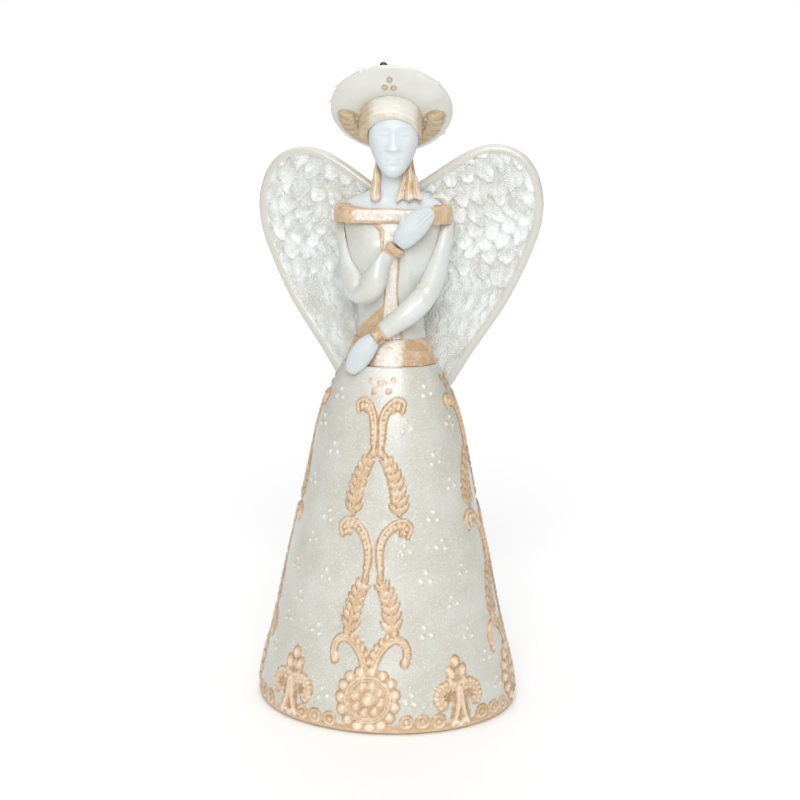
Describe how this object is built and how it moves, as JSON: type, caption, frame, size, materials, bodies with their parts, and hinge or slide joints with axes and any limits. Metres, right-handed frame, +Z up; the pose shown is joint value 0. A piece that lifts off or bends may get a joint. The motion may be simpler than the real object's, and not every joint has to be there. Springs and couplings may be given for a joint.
{
  "type": "angel figurine",
  "caption": "Standing angel figurine in cast resin: flared relief skirt, crossed arms, tilted round hat and feathered wings, resting on a felt base.",
  "frame": {"origin": "centre of the felt pad's underside, on the surface that the figurine stands on", "axes": "+Z up; the figure faces -Y; +X is towards its own left hand, on the viewer's right"},
  "size_m": [0.098, 0.0776, 0.2153],
  "materials": {
    "pearl_resin": "pearl lacquer over cast resin, fine mica sparkle",
    "wing_pearl": "pearl lacquer over feather relief",
    "glitter_pearl": "coarse sparkling pearl with small peach flowers",
    "peach_lacquer": "satin metallic peach lacquer, wiped over the relief",
    "bisque_resin": "matt translucent cool white, like bisque",
    "raw_resin": "unpainted cast resin",
    "felt": "short felt",
    "black_bead": "gloss black bead",
    "steel": "plain steel pin"
  },
  "bodies": {
    "root": {"skirt_shell": "pearl_resin", "base_plate": "raw_resin", "felt_pad": "felt", "bodice": "pearl_resin", "chest_panel": "glitter_pearl", "waist_sash": "peach_lacquer", "neck_and_shoulders": "bisque_resin", "shoulder_band": "peach_lacquer", "head": "bisque_resin", "headband": "peach_lacquer", "hat_brim": "pearl_resin", "hat_crown": "pearl_resin", "hat_pin": "black_bead", "right_hair_lock": "peach_lacquer", "left_hair_lock": "peach_lacquer", "right_sleeve": "pearl_resin", "left_sleeve": "pearl_resin", "right_cuff": "peach_lacquer", "left_cuff": "peach_lacquer", "right_hand": "bisque_resin", "left_hand": "bisque_resin", "right_wing": "wing_pearl", "left_wing": "wing_pearl", "wing_pins": "steel", "neck_pin": "steel"}
  },
  "joints": []
}
